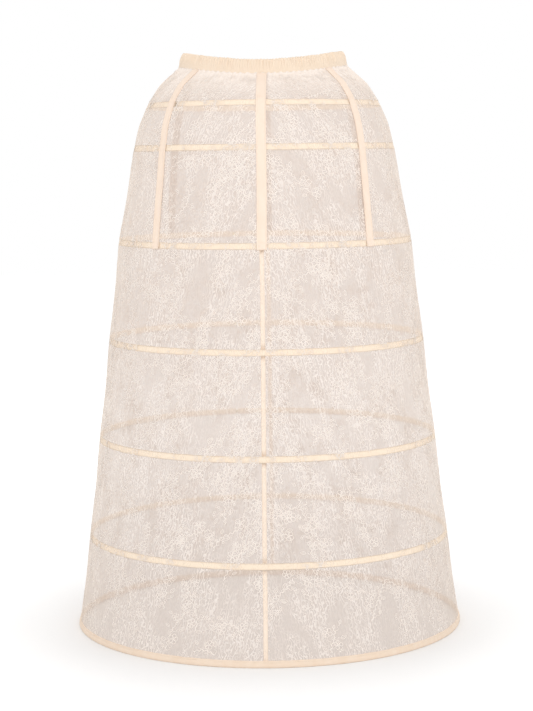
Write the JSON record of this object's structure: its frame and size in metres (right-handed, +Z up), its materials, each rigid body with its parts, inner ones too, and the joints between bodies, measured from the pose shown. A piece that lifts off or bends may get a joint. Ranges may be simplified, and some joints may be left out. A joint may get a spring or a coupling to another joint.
{
  "type": "crinoline cage",
  "caption": "Crinoline cage: sprung steel hoops in tape casings on a sheer lace skirt that widens to the hem, hung by flat tapes from a gathered elastic waistband.",
  "frame": {"origin": "on the floor under the middle of the hem", "axes": "+Z up through the waist, the front towards -Y, +X to the right as seen from the front"},
  "size_m": [0.62, 0.6199, 0.9148],
  "materials": {
    "lace": "sheer ivory lace on fine net",
    "casing_tape": "matt cream cotton tape",
    "upright_tape": "matt cream cotton twill tape",
    "seam_tape": "soft narrow cotton tape",
    "waistband": "gathered cream cotton",
    "elastic": "woven elastic",
    "hoop_steel": "bronzed spring steel",
    "joiner_metal": "dull brass"
  },
  "bodies": {
    "root": {"waistband": "waistband", "waist_elastic": "elastic", "lace_left": "lace", "lace_right": "lace", "hem_hoop": "hoop_steel", "shin_hoop": "hoop_steel", "knee_hoop": "hoop_steel", "thigh_hoop": "hoop_steel", "hip_hoop": "hoop_steel", "high_hip_hoop": "hoop_steel", "yoke_hoop": "hoop_steel", "hem_joiner": "joiner_metal", "shin_joiner": "joiner_metal", "knee_joiner": "joiner_metal", "thigh_joiner": "joiner_metal", "hip_joiner": "joiner_metal", "high_hip_joiner": "joiner_metal", "yoke_joiner": "joiner_metal", "hem_binding": "casing_tape", "shin_casing": "casing_tape", "knee_casing": "casing_tape", "thigh_casing": "casing_tape", "hip_casing": "casing_tape", "high_hip_casing": "casing_tape", "yoke_casing": "casing_tape", "front_tape": "upright_tape", "right_front_tape": "upright_tape", "right_back_tape": "upright_tape", "back_tape": "upright_tape", "left_back_tape": "upright_tape", "left_front_tape": "upright_tape", "front_seam_tape": "seam_tape", "back_seam_tape": "seam_tape"}
  },
  "joints": []
}
